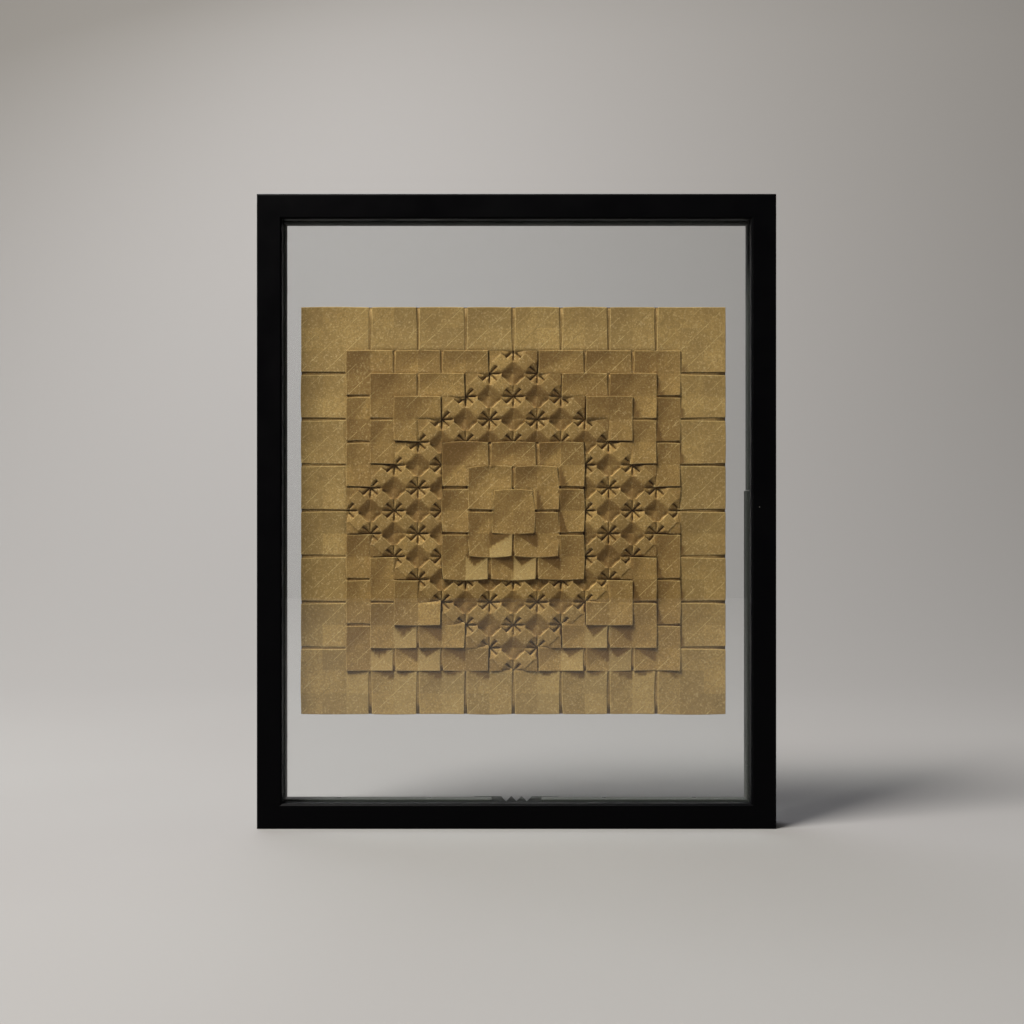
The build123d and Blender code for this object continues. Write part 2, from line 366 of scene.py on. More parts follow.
def ramp(value, start, end):
    """0 up to start, 1 from end on and a straight line between; start may also be the larger one."""
    return np.clip((value - start) / (end - start), 0, 1)


def place_in_tile(ring, along):
    """How far along its two pitches a place lies in its tile, from 0 to 1."""
    return ((along - ring.inner + 1) / 2) % 1


def covered_edge(ring, along):
    """Where a ring's inner edge runs under another ring of tiles, and not beside the flowers."""
    first = FLOWER_REACH + 1 - ring.inner if ring.inner > CENTRE_REACH else 0
    return (np.abs(along) < ring.inner) & (np.abs(along) > first)


def lower_facets(ring, across, up):
    """Facets on the lower side: a triangle widens from the groove to the tile's middle, then comes a tent.

    Gives the height, and where the paper under a tent faces the light.
    """
    below = -up - ring.inner
    phase = place_in_tile(ring, across)
    past_middle = 2 * phase - 1
    tent = np.minimum(past_middle / ring.apex, (1 - past_middle) / (1 - ring.apex))
    share = np.maximum(np.where(phase < 0.5, 2 * phase, (1 - ring.apex) * tent), LEAST_SHARE)
    depth = ring.facet * share
    there = covered_edge(ring, across) & (below > -LINE_SLACK)
    return np.where(there, share * ramp(below, depth, 0), 0), there & (phase > 0.5) & (below > depth)


def right_facets(ring, across, up):
    """Facets on the right side: a triangle half as deep above each groove, widest at the groove."""
    beyond = across - ring.inner
    phase = place_in_tile(ring, up)
    share = np.maximum(1 - 2 * phase, LEAST_SHARE)
    height = share * ramp(beyond, ring.facet / 2 * share, 0)
    return np.where(covered_edge(ring, up) & (beyond > -LINE_SLACK) & (phase < 0.5), height, 0)


def ring_height(ring, across, up):
    """Height of a ring of tiles at places of the grid, a dish with a vee and facets, and its painted
    shading.
    """
    reach = np.maximum(np.abs(across), np.abs(up))
    upright = np.abs(up) >= np.abs(across)
    side = np.where(upright, np.where(up > 0, 0, 2), 1)
    outward = ramp(reach, ring.inner, ring.outer)
    vee = np.abs(2 * place_in_tile(ring, np.where(upright, across, up)) - 1)
    cover_line = ring.inner - ring.cover * DRAW_IN_BY_SIDE[side] / mean_pitch
    covered = ramp(reach, cover_line, cover_line - COVER_FADE) if ring.inner else 0
    inner_dish = ring.inner_rise * ramp(outward, DISH_REACH, 0) ** 2
    lower, lit = lower_facets(ring, across, up)
    facets = lower + right_facets(ring, across, up)
    dish = ring.lift * outward ** 2 + ring.vee * vee - ring.sink * covered
    # Painted highlight where a tent's far side faces the light, painted shade over the facets
    shade = FACET_LIT * ring.tint * lit - FACET_SHADE * ramp(facets, 0, FACET_EDGE)
    return ring.level + dish + np.maximum(inner_dish, ring.rise * facets), shade


groove_folds, _ = ring_height(RINGS[0], np.zeros(1), np.array([BORDER_REACH]))
print("folds at the end of a border groove:", groove_folds.round(2), "mm high")

# %% [markdown]
# ## The tiles
#
# A tile is a rectangle of paper folded back along its edges. There the surface rolls over in a quarter
# circle and drops as a skirt, so each fold has a real rounded edge that catches the light, and between
# two tiles lies a groove with a floor. No two hand-folded tiles are alike, so edges bow and tiles lean by
# a little chance, always the same from run to run. All the tiles of a ring are one array, with no loop
# over points.

# %% Edges of a tile
# Millimetres: the fold's radius, the band beside it and the drop of the skirt
ROLL = 0.18
RIM_BAND = 0.22
SKIRT = 3.0

quarter = np.radians([0, 45, 90])
rim_inset = np.concatenate([[0], ROLL * (1 - np.cos(quarter)), [ROLL + RIM_BAND]])
rim_drop = np.concatenate([[ROLL + SKIRT], ROLL * (1 - np.sin(quarter)), [0]])
# Fold edges are paler: partly rubbed paper, partly a painted highlight
rim_wear_and_highlight = np.array([0.0, 0.2, 0.9, 0.6, 0.0])


def edge_to_edge(count, crowding=1.0):
    """Samples across a tile with a rolled edge at both ends: share of the way, inset, drop, and wear that
    is partly a painted highlight.

    A crowding above 1 draws the samples between the edges towards the start.
    """
    inside = np.linspace(0, 1, count + 2)[1:-1] ** crowding
    share = np.concatenate([np.zeros(len(rim_inset)), inside, np.ones(len(rim_inset))])
    inset = np.concatenate([rim_inset, rim_inset[-1] * (1 - 2 * inside), -rim_inset[::-1]])
    drop = np.concatenate([rim_drop, np.zeros(count), rim_drop[::-1]])
    wear_and_painted_light = np.concatenate([rim_wear_and_highlight, np.zeros(count), rim_wear_and_highlight[::-1]])
    return share, inset, drop, wear_and_painted_light


print("edge samples:", len(rim_inset))

# %% Tiles
FLOOR = 0.12
CEILING = 2.65
ROW_CROWDING = 1.4
FLARE = (0.7, 1.3)
BOW = 0.12
TILT = 0.07
MOST_CHANCE = 2
# Painted shade on each tile's upper left corner: the range of its size and of its strength
PAINTED_CORNER_SHADE_RANGE = (0.6, 1.0)
CORNER_BLUR = 0.15
chance = np.random.default_rng(11)


def small_chance(*shape):
    """Normal chance numbers without the rare large ones."""
    return np.clip(chance.standard_normal(shape), -MOST_CHANCE, MOST_CHANCE)


def turned(along, out, turn):
    """A place on the upper side, given along it and out of it, turned by quarters to the left."""
    cosine = np.round(np.cos(turn * np.pi / 2))
    sine = np.round(np.sin(turn * np.pi / 2))
    return cosine * along - sine * out, sine * along + cosine * out


def share_of(values):
    """Where each value lies between the smallest and the largest of its tile, from 0 to 1."""
    low = values.min(axis=(1, 2), keepdims=True)
    return (values - low) / np.ptp(values, axis=(1, 2), keepdims=True)


def tile_patches(ring, tiles, turns, columns, rows):
    """Points, wear with painted light and shade, and quads of tiles, each a span between two edges along
    the ring and two out of it.

    A tile's row holds the span, the gap and the freedom of its four edges; grooves flare outwards.
    """
    count = len(tiles)
    span, gap, free = (tiles[:, start:start + 4, None, None] for start in (0, 4, 8))
    turn = turns[:, None, None]
    share_u, inset_u, drop_u, wear_and_highlight_u = (value[None, None, :] for value in edge_to_edge(columns))
    share_v, inset_v, drop_v, wear_and_highlight_v = (value[None, :, None] for value in edge_to_edge(rows, ROW_CROWDING))
    along_pitch = np.where(turn % 2 == 0, pitch[0], pitch[1])
    out_pitch = np.where(turn % 2 == 0, pitch[1], pitch[0])
    flare = FLARE[0] + (FLARE[1] - FLARE[0]) * share_v
    low_u = span[:, 0] * along_pitch + gap[:, 0] * flare
    high_u = span[:, 1] * along_pitch - gap[:, 1] * flare
    low_v = span[:, 2] * out_pitch + gap[:, 2]
    high_v = span[:, 3] * out_pitch - gap[:, 3]
    outwards = np.array([-1, 1, -1, 1])[None, :, None, None]
    bow = BOW * small_chance(count, 4)[:, :, None, None] + ring.bulge * free * outwards
    bow_u = bow[:, 0] + (bow[:, 1] - bow[:, 0]) * share_u
    bow_v = bow[:, 2] + (bow[:, 3] - bow[:, 2]) * share_v
    along = low_u + (high_u - low_u) * share_u + inset_u + bow_u * np.sin(np.pi * share_v)
    out = low_v + (high_v - low_v) * share_v + inset_v + bow_v * np.sin(np.pi * share_u)
    x, y = turned(along, out, turn)
    tilt = TILT * small_chance(count, 2)[:, :, None, None]
    lean = tilt[:, 0] * (2 * share_u - 1) + tilt[:, 1] * (2 * share_v - 1)
    height, shade = ring_height(ring, x / pitch[0], y / pitch[1])
    height = np.clip(height + lean - np.maximum(drop_u, drop_v), FLOOR, CEILING)
    # A painted shade darkens each tile's upper left corner, of a size and strength by chance
    corner_size = chance.uniform(*PAINTED_CORNER_SHADE_RANGE, (count, 1, 1))
    corner_shade_strength = ring.tint * chance.uniform(*PAINTED_CORNER_SHADE_RANGE, (count, 1, 1))
    from_corner = share_of(x) + 1 - share_of(y)
    painted_corner_shade = corner_shade_strength * ramp(from_corner, corner_size, corner_size - CORNER_BLUR)
    # Paler rubbed and highlighted fold edges, with the painted shade and highlights of facets, tents and
    # corner
    wear_and_painted_light = np.maximum(wear_and_highlight_u, wear_and_highlight_v) + np.minimum(shade, shade - painted_corner_shade * (shade >= 0))
    points = np.stack(np.broadcast_arrays(x, y, height), axis=-1)
    return points.reshape(-1, 3), wear_and_painted_light.ravel(), grid_quads(count, *points.shape[1:3])


# %% Floors of the grooves
GUTTER_SHARE = 0.35
GUTTER_HALF_WIDTH = 1.0
# Painted shade on the floors of the grooves
GUTTER_SHADE = -0.45
GUTTER_ROWS = np.array([0.0, 0.25, 0.5, 0.75, 1.0, 1.0])


def groove_floors(ring, tiles, turns):
    """A narrow layer under each groove, part of the way from the ring's level up to its folds, darkened by
    painted shade.

    Its last row drops to the sheet's floor, so that the groove is closed at its outer end too.
    """
    beside_flowers = tiles[:, 0] == FLOWER_REACH + 1 - ring.outer
    groove = tiles[~beside_flowers, 0][:, None, None]
    turn = turns[~beside_flowers][:, None, None]
    outer = ring.outer - LINE_SLACK - tiles[~beside_flowers, 7][:, None, None] / mean_pitch
    out = ring.inner + (outer - ring.inner) * GUTTER_ROWS[None, :, None]
    folds, _ = ring_height(ring, *turned(groove + 0 * out, out, turn))
    height = ring.level + GUTTER_SHARE * (folds - ring.level)
    height[:, -1] = FLOOR
    half_width = np.array([1.0, -1.0])[None, None, :] * GUTTER_HALF_WIDTH / mean_pitch
    across, up = turned(groove + half_width + 0 * out, out + 0 * half_width, turn)
    points = np.stack(np.broadcast_arrays(across * pitch[0], up * pitch[1], height), axis=-1)
    wear_and_painted_light = np.full(points[..., 0].size, GUTTER_SHADE)
    return points.reshape(-1, 3), wear_and_painted_light, grid_quads(len(groove), *points.shape[1:3])


# %% [markdown]
# ## Laying the tiles
#
# Side tiles are two pitches long and start at every second grid line, and a corner tile closes each
# corner. Beside the diamond of flowers the row stops. One side is laid out and then turned by quarters.
# Sides with facets need more points than the others, and the small steep tiles in the centre need most.

# %% Laying the tiles
UNDERLAP = 1.2
TILE_GRIDS = {"plain": (12, 8), "lower": (34, 12), "right": (16, 10)}
CENTRE_GRIDS = {"plain": (20, 16), "lower": (44, 22), "right": (44, 22)}
TOP_GRID = (24, 24)


def ring_tiles(ring):
    """Side and corner tiles of a ring, without the diamond: span, gap, freedom of four edges; and turns."""
    last = ring.inner - 1
    starts = np.arange(-last, last, 2)
    if CENTRE_REACH < ring.inner < FLOWER_REACH:
        right = np.arange(FLOWER_REACH + 1 - ring.outer, last, 2)
        starts = np.concatenate([-right - 2, right])
    gap = ring.gap
    under = -UNDERLAP - ring.cover
    tiles = []
    for turn in range(4):
        outer_gap, corner_gap = ring.draw_in * DRAW_IN_BY_SIDE[[turn, turn - 1]]
        for start in starts:
            tiles.append((start, start + 2, ring.inner, ring.outer, gap, gap, under, outer_gap, 0, 0, 0, 1))
        tiles.append((last, ring.outer, last, ring.outer, gap, corner_gap, gap, outer_gap, 0, 1, 0, 1))
    return np.array(tiles, dtype=float), np.repeat(np.arange(4), len(starts) + 1)


def folded_tiles():
    """All the tiles, ring by ring, with the floors of their grooves, and the top tile."""
    made = []
    for ring in RINGS:
        tiles, turns = ring_tiles(ring)
        grids = CENTRE_GRIDS if ring.inner <= CENTRE_REACH + 1 else TILE_GRIDS
        for chosen, grid in ((turns < 2, "plain"), (turns == 2, "lower"), (turns == 3, "right")):
            made.append(tile_patches(ring, tiles[chosen], turns[chosen], *grids[grid]))
        made.append(groove_floors(ring, tiles, turns))
    left_right_bottom_top = TOP_TILE.draw_in * DRAW_IN_BY_SIDE[[1, 3, 2, 0]]
    top = np.array([[-1.0, 1.0, -1.0, 1.0, *left_right_bottom_top, 1, 1, 1, 1]])
    made.append(tile_patches(TOP_TILE, top, np.array([0]), *TOP_GRID))
    return made


tile_parts = folded_tiles()
print("tiles:", sum(len(quads) for _, _, quads in tile_parts), "quads")

# %% [markdown]
# ## The flowers
#
# Every flower cell holds one raised square set on its corner. Two opposite corners of the cell are star
# pits with petals parted by slits, and the other two are hollows. The cell is drawn in four sectors: one
# parameter runs along the square's edge and the other from the cell's middle, across that edge, to the
# cell's corner. In this way the folds and the slits lie exactly on lines of the grid, and stay sharp
# without many points.

# %% Flower cells and their sectors
# Shares of a pitch. Sectors are counted from the upper right one round to the left.
SQUARE = 0.365
INNER_ROWS = np.array([0.0, 0.55, 0.88, 0.96])
OUTER_ROWS = np.array([0.0, 0.03, 0.1, 0.3, 0.55, 0.75, 0.88, 0.94, 1.0])
HALF_EDGE = np.array([0.0, 0.09, 0.2, 0.45, 0.75, 0.92, 1.0])


def flower_cells():
    """Middles of the flower cells: half pitches within the diamond and outside the centre square."""
    half = np.arange(-FLOWER_REACH + 0.5, FLOWER_REACH)
    across, up = (values.ravel() for values in np.meshgrid(half, half))
    inside = np.abs(across) + np.abs(up) <= FLOWER_REACH
    outside_centre = np.maximum(np.abs(across), np.abs(up)) > CENTRE_REACH
    return across[inside & outside_centre], up[inside & outside_centre]


def sector_plan():
    """One sector of a cell: shares inside and outside the square, the place along its edge, and the plan.

    The plan runs straight from the cell's middle to the square's edge, and on to the cell's own border.
    """
    inside = np.concatenate([INNER_ROWS, np.ones(len(OUTER_ROWS))])[:, None]
    outside = np.concatenate([np.zeros(len(INNER_ROWS)), OUTER_ROWS])[:, None]
    edge = np.concatenate([HALF_EDGE[::-1], -HALF_EDGE[1:]])[None, :]
    along_edge = np.stack([(1 - edge) / 2, (1 + edge) / 2])
    on_square = SQUARE * along_edge
    on_border = np.minimum(along_edge, 0.5)
    return inside, outside, edge, inside * on_square * (1 - outside) + on_border * outside


print("flower cells:", len(flower_cells()[0]))

# %% [markdown]
# ## Stars
#
# The petals of a star slope from the squares to its middle, and eight slits part them. How far each slit
# opens, and how dark a painted shade makes a petal, depends on which way it faces, so both are small
# tables by sector. Painted shade darkens the slits. Petals beside the lower slits stand up as small tents
# with a painted highlight. On the upper right the square's edge is tucked, and a painted shadow there
# draws a dark line in the shape of a tick.

# %% Stars
# Heights and widths are millimetres; starts, ends and reaches are shares
SQUARE_LEVEL = 1.75
STAR_DROP = (1.0, 1.0, 0.55, 0.7)
STAR_TUCK = 0.5
TUCK_START = (0.005, 0.035)
TUCK_END = (0.3, 0.15)
SLIT_DEPTH = 1.3
SLIT_REACH = 0.46
SLIT_END = (0.02, -0.03)
SLIT_HALF_WIDTH = 0.4
WEDGE = (0.5, 0.7)
# Painted shade fills the slits, full from this share of a slit's depth
SLIT_DARK = 0.625
PETAL_HALF_WIDTH = 1.2
PETAL_RIDGE = 0.3
PETAL_START = 0.25
TENT_RISE = 0.6
TENT_HALF_WIDTH = 1.5
# Painted highlight on the tents
TENT_HIGHLIGHT = 0.5

# How far each slit of a star opens: a straight one, the diagonal and the other straight one, by sector
SLIT_OPENING = np.array([[1.0, 1.0, 0.3], [1.0, 0.8, 1.0], [0.4, 0.9, 1.0], [0.3, 0.9, 0.4]])

# How much painted shade darkens the two petals of every sector, against the squares
PETAL_SHADE = np.array([[0.0, 0.15], [0.1, 0.0], [0.0, 0.25], [0.6, 0.2]])


def star_sector(sector, outside, edge, plan):
    """Height and painted shading of petals that slope to a star's middle, parted by slits of differing
    opening.
    """
    x, y = plan
    fall = ramp(x + y, SQUARE, 1)
    from_star = np.hypot(0.5 - x, 0.5 - y)
    to_diagonal = np.abs(x - y) * mean_pitch / np.sqrt(2)
    to_straight = (0.5 - np.maximum(x, y)) * mean_pitch
    first, diagonal, second = SLIT_OPENING[sector]
    straight = np.where(edge < 0, first, second)
    wedge = SLIT_HALF_WIDTH * (WEDGE[0] + WEDGE[1] * from_star / SLIT_REACH)
    ends = ramp(from_star, SLIT_REACH + SLIT_END[0], SLIT_REACH + SLIT_END[1]) * (outside > 0)
    diagonal_slit = diagonal * ramp(to_diagonal, SLIT_HALF_WIDTH, 0)
    slit = ends * np.maximum(diagonal_slit, straight * ramp(to_straight, wedge, 0))
    ridge = ends * ramp(np.minimum(to_diagonal, to_straight), PETAL_HALF_WIDTH, 0)
    beside_lower_slit = {2: edge < 0, 3: edge > 0}.get(sector, False)
    tent = beside_lower_slit * ends * ramp(to_straight, TENT_HALF_WIDTH, 0)
    towards_top = ramp(edge, 0, 1 / 3) if sector == 0 else 0 * edge
    tuck = towards_top * ramp(outside, *TUCK_START) * ramp(outside, *TUCK_END)
    height = SQUARE_LEVEL - STAR_DROP[sector] * fall + TENT_RISE * fall * tent
    height = height - PETAL_RIDGE * ridge - SLIT_DEPTH * slit - STAR_TUCK * tuck
    # Painted shade on the petals, in the slits and along the tucked edge, and a painted highlight on the
    # tents
    petal = np.where(edge < 0, *PETAL_SHADE[sector]) * ramp(fall, 0, PETAL_START) * (outside > 0)
    shade = np.maximum(petal, np.maximum(ramp(slit, 0, SLIT_DARK), tuck))
    return height, TENT_HIGHLIGHT * tent - shade


star_heights, _ = star_sector(0, *sector_plan()[1:])
print("a star falls to", np.maximum(star_heights, FLOOR).min().round(2), "mm above the flat back")

# %% [markdown]
# ## Hollows
#
# A hollow falls smoothly from the squares above it and is tucked under the squares below it. A short
# crease with a painted highlight runs from its middle, and a painted shade darkens the hollow, most on
# its left side.

# %% Hollows
HOLLOW_DROP = 0.95
HOLLOW_TUCK = 0.25
HOLLOW_TUCK_START = (0.02, 0.08)
# Painted shade in a hollow, darker on its left
HOLLOW_SHADE = 0.58
SHADE_LEFT_TO_RIGHT = (1.4, 0.6)
SHADE_START = 0.2
CREASE_RISE = 0.14
CREASE_WIDTH = 0.55
CREASE_REACH = 0.34
# Painted highlight along the crease
CREASE_HIGHLIGHT = 0.4


def hollow_sector(sector, outside, edge, plan):
    """Height and painted shading of a hollow, a smooth step down to its middle, with a crease like a narrow
    bell.
    """
    x, y = plan
    fall = ramp(x + y, SQUARE, 1)
    height = SQUARE_LEVEL - HOLLOW_DROP * fall ** 2 * (3 - 2 * fall)
    if sector in (0, 1):
        floor = SQUARE_LEVEL - HOLLOW_DROP - HOLLOW_TUCK
        tucked = np.minimum(floor + (height - floor) * outside, height)
        height = height + (tucked - height) * ramp(outside, *HOLLOW_TUCK_START)
    beside_crease = edge < 0 if sector in (0, 2) else edge > 0
    to_crease = (0.5 - np.maximum(x, y)) * mean_pitch
    from_middle = np.hypot(0.5 - x, 0.5 - y)
    bell = np.exp(-((to_crease / CREASE_WIDTH) ** 2))
    crease = beside_crease * bell * ramp(from_middle, CREASE_REACH, 0)
    from_left = (x, 1 - y, 1 - x, y)[sector]
    left, right = SHADE_LEFT_TO_RIGHT
    shade = HOLLOW_SHADE * (left + (right - left) * from_left) * ramp(fall, 0, SHADE_START)
    return height + CREASE_RISE * crease, CREASE_HIGHLIGHT * crease - shade


hollow_heights, _ = hollow_sector(0, *sector_plan()[1:])
print("a hollow is", np.ptp(hollow_heights).round(2), "mm deep")

# %% [markdown]
# ## The whole field of flowers
#
# Each sector is worked out once as a star and once as a hollow, and the grid says which corner of a cell
# is which: they take turns like the fields of a chess board. At the diamond's edge a hollow would lie
# under the tiles, so the paper runs on flush there, a little darkened by painted shade. Squares lean a
# little, and neighbours meet in low necks. The squares' tops carry painted light, and their upper rims a
# painted highlight.

# %% The whole field of flowers
SQUARE_TILT = 0.2
SQUARE_CROWN = 0.05
# Painted light on the tops of the squares
SQUARE_PAINTED_LIGHT = 0.12
NECK_DROP = 1.3
NECK_POWER = 6
FLUSH_DROP = 0.15
FLUSH_START = 0.1
# Painted shade on the flush sectors at the diamond's edge
FLUSH_SHADE = 0.2
RIM_INSIDE = 0.03
RIM_OUTSIDE = 0.02
# Painted highlight on the squares' rims, strongest on their upper edges
RIM_HIGHLIGHT_BY_SECTOR = (1.0, 1.0, 0.3, 0.3)


def flower_field():
    """Points, painted light and shade, and quads of all flower cells, four sectors each."""
    cell_across, cell_up = flower_cells()
    count = len(cell_across)
    tilt = SQUARE_TILT * small_chance(2, count)[:, :, None, None]
    inside, outside, edge, plan = sector_plan()
    neck = SQUARE_LEVEL - NECK_DROP * ramp(plan.sum(axis=0), SQUARE, 1)
    off_neck = 1 - np.abs(edge) ** NECK_POWER
    crown = SQUARE_CROWN * (1 - inside ** 2)
    rim = np.exp(-((inside - 1) / RIM_INSIDE) ** 2) * np.exp(-((outside / RIM_OUTSIDE) ** 2))
    made = []
    for sector in range(4):
        x, y = turned(*plan, sector)
        corner_across = cell_across + (0.5 if sector in (0, 3) else -0.5)
        corner_up = cell_up + (0.5 if sector in (0, 1) else -0.5)
        is_star = (np.round(corner_across + corner_up) % 2 == 1)[:, None, None]
        is_flush = (np.abs(corner_across) + np.abs(corner_up) > FLOWER_REACH + 0.5)[:, None, None]
        star, star_painted_shading = star_sector(sector, outside, edge, plan)
        hollow, hollow_painted_shading = hollow_sector(sector, outside, edge, plan)
        flush = SQUARE_LEVEL - FLUSH_DROP * ramp(outside, 0, FLUSH_START)
        hollow = np.where(is_flush, flush, hollow)
        hollow_painted_shading = np.where(is_flush, -FLUSH_SHADE * (outside > 0), hollow_painted_shading)
        lean = (1 - outside) * (tilt[0] * x + tilt[1] * y)
        height = neck + (np.where(is_star, star, hollow) - neck) * off_neck + crown + lean
        # Painted highlight on the rims, and the painted light and shade of the star or the hollow
        wear_and_painted_light = RIM_HIGHLIGHT_BY_SECTOR[sector] * rim + np.where(is_star, star_painted_shading, hollow_painted_shading)
        wear_and_painted_light = wear_and_painted_light + SQUARE_PAINTED_LIGHT * (outside == 0)
        across = (cell_across[:, None, None] + x) * pitch[0]
        up = (cell_up[:, None, None] + y) * pitch[1]
        points = np.stack([across, up, np.maximum(height, FLOOR)], axis=-1)
        made.append((points.reshape(-1, 3), wear_and_painted_light.ravel(), grid_quads(count, *points.shape[1:3])))
    return made


flower_parts = flower_field()
print("flowers:", sum(len(quads) for _, _, quads in flower_parts), "quads")

# %% [markdown]
# ## The sheet's back
#
# Behind, the pleats lie flat and cross in a lattice. Heights along the two directions are given once each
# and the larger one wins, which makes the bands overlap as real pleats do. A lowest layer, just in front
# of the back, closes the sheet at its edges.

# %% Back and lowest layer of the sheet
PLEAT_WIDTH = 4.6
PLEAT_EDGE = 0.08
# Painted shade on the back between the pleats, and painted light on them
PLEAT_PAINTED_SHADING = (-0.15, 0.1)


def banded(size, line_pitch, height):
    """Positions along one direction and heights of the flat bands centred on every second grid line."""
    lines = np.arange(1 - FLOWER_REACH, FLOWER_REACH, 2) * line_pitch
    half = PLEAT_WIDTH / 2
    steps = np.array([-half - PLEAT_EDGE, -half, half, half + PLEAT_EDGE])
    bands = (lines[:, None] + steps).ravel()
    heights = np.tile(height * np.array([0, 1, 1, 0]), len(lines))
    return np.concatenate([[-size / 2], bands, [size / 2]]), np.concatenate([[0], heights, [0]])


def sheet_back():
    """Points, painted shading and quads of the back with its pleats, facing away from the viewer."""
    x, rise_x = banded(sheet_size[0], pitch[0], BACK_PLEAT_HEIGHT)
    y, rise_y = banded(sheet_size[1], pitch[1], BACK_PLEAT_HEIGHT / 2)
    across, up = np.meshgrid(x, y)
    height = np.maximum(rise_x[None, :], rise_y[:, None])
    points = np.stack([across, up, -height], axis=-1)
    wear_and_painted_light = np.where(height > 0, PLEAT_PAINTED_SHADING[1], PLEAT_PAINTED_SHADING[0])
    return points.reshape(-1, 3), wear_and_painted_light.ravel(), grid_quads(1, *height.shape)[:, ::-1]


def sheet_floor():
    """Points, painted shade and quads of the lowest layer, a flat sheet whose edges are turned down to the
    back.
    """
    lines = np.array([-BORDER_REACH, -BORDER_REACH, BORDER_REACH, BORDER_REACH])
    raised = np.array([0.0, 1.0, 1.0, 0.0])
    across, up = np.meshgrid(lines, lines)
    points = np.stack([across * pitch[0], up * pitch[1], FLOOR * np.outer(raised, raised)], axis=-1)
    # The lowest layer is fully darkened by painted shade
    return points.reshape(-1, 3), np.full(across.size, -1.0), grid_quads(1, *across.shape)


back_parts = [sheet_back(), sheet_floor()]
print("back and lowest layer:", sum(len(quads) for _, _, quads in back_parts), "quads")

# %% [markdown]
# ## One sheet
#
# All these surfaces are parts of one piece of paper, so they become one mesh. The front is shaded
# smoothly between its folds and the back is shaded flat, so that its pleats keep crisp edges. Three
# numbers go with every point for the material to read: the wear with the painted light and shade,
# whether it lies on a tile, and whether on the front.

# %% One sheet


def joined(parts):
    """Several sets of points, wear with painted light and shade, and quads as one, with the corner numbers
    moved on.
    """
    starts = np.cumsum([0] + [len(points) for points, _, _ in parts[:-1]])
    points = np.concatenate([points for points, _, _ in parts])
    wear_and_painted_light = np.concatenate([wear_and_painted_light for _, wear_and_painted_light, _ in parts])
    quads = np.concatenate([quads + start for start, (_, _, quads) in zip(starts, parts)])
    return points, wear_and_painted_light, quads


front_parts = tile_parts + flower_parts
sheet_points, sheet_wear_and_painted_light, sheet_quads = joined(front_parts + back_parts)
front_quads = sum(len(quads) for _, _, quads in front_parts)
front_points = sum(len(points) for points, _, _ in front_parts)
tile_points = sum(len(points) for points, _, _ in tile_parts)
is_front = np.arange(len(sheet_quads)) < front_quads
paper_sheet = mesh_object("folded_paper", in_frame(sheet_points), sheet_quads, is_front)
# Wear of the fold edges, with the painted highlights and the painted shade
number_layer(paper_sheet, "wear_and_painted_light", sheet_wear_and_painted_light)
number_layer(paper_sheet, "tile", np.arange(len(sheet_points)) < tile_points)
number_layer(paper_sheet, "front", np.arange(len(sheet_points)) < front_points)
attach(paper_sheet, "root")
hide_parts("folded_sheet")
print("folded paper:", 2 * len(sheet_quads), "triangles")

# %% [markdown]
# ## Kraft paper: its patterns
#
# The paper is unbleached kraft, pressed from wood pulp on a wire, which gives a warm tan with slow
# changes of tone, a fine mottle and short pale fibres. Most of this can be made from one kind of noise,
# so the patterns stand in a table with the real size of their blots. All of them are tied to the sheet's
# own place, so they stay put from any side.

# %% Kraft paper: its patterns
kraft = new_material("kraft_paper")
place = add(kraft, "ShaderNodeTexCoord", gives="Object")
wear_and_painted_light_value, tile_value, front_value = (
    add(kraft, "ShaderNodeAttribute", gives="Fac", attribute_name=name)
    for name in ("wear_and_painted_light", "tile", "front")
)

# Size of a blot in millimetres, detail, and the range of the noise that is stretched to run from 0 to 1.
# Real fibres and specks are finer than this, and are drawn as coarse as the picture needs to show them.
BLOTS = {
    "tone": (26, 3, 0.35, 0.65),
    "mottle": (2.4, 4, 0.3, 0.7),
    "speckle": (0.7, 3, 0.35, 0.65),
    "fleck": (0.8, 3, 0.54, 0.72),
    "fibre_patch": (1.1, 1, 0.5, 0.62),
    "crease_patch": (2.4, 2, 0.36, 0.56),
    "valley_fold": (22, 1, 0.53, 0.56),
}
blots = {}
for name, (size, detail, low, high) in BLOTS.items():
    field = add(kraft, "ShaderNodeTexNoise", {"Vector": place, "Scale": per_metre(size), "Detail": detail})
    blots[name] = add(kraft, "ShaderNodeMapRange", {"Value": field, "From Min": low, "From Max": high})

# Fibres are the thin lines where a wavy noise passes its middle value, shown in patches
FIBRE_SPACING = 2.0
FIBRE_WAVE = 0.8
FIBRE_WIDTH = 0.012
feeds = {"Vector": place, "Scale": per_metre(FIBRE_SPACING), "Detail": 1.0, "Distortion": FIBRE_WAVE}
fibre_field = add(kraft, "ShaderNodeTexNoise", feeds)
off_middle = add(kraft, "ShaderNodeMath", {0: fibre_field, 1: 0.5}, operation="SUBTRACT")
from_fibre = add(kraft, "ShaderNodeMath", {0: off_middle}, operation="ABSOLUTE")
feeds = {"Value": from_fibre, "From Min": FIBRE_WIDTH, "From Max": 0.0}
fibre_line = add(kraft, "ShaderNodeMapRange", feeds)
fibre = add(kraft, "ShaderNodeMath", {0: fibre_line, 1: blots["fibre_patch"]}, operation="MULTIPLY")
print("paper patterns:", ", ".join(BLOTS), "and fibres")

# %% [markdown]
# ## Kraft paper: its folding grid
#
# Before folding, the sheet was creased all over. The old creases run over the tiles at forty-five degrees
# as thin broken lines, pale where the fold was rubbed and dark where it was a valley. Paper folded over
# paper also differs in tone from one cell of the grid to the next. A Mapping node turns the sheet's place
# into grid steps, and both patterns follow from those.

# %% Kraft paper: its folding grid
CREASE_HALF_WIDTH = 0.17
LAYER_DRAW = 3.0
BORDER_LINE = (FLOWER_REACH - 0.05, FLOWER_REACH + 0.05)

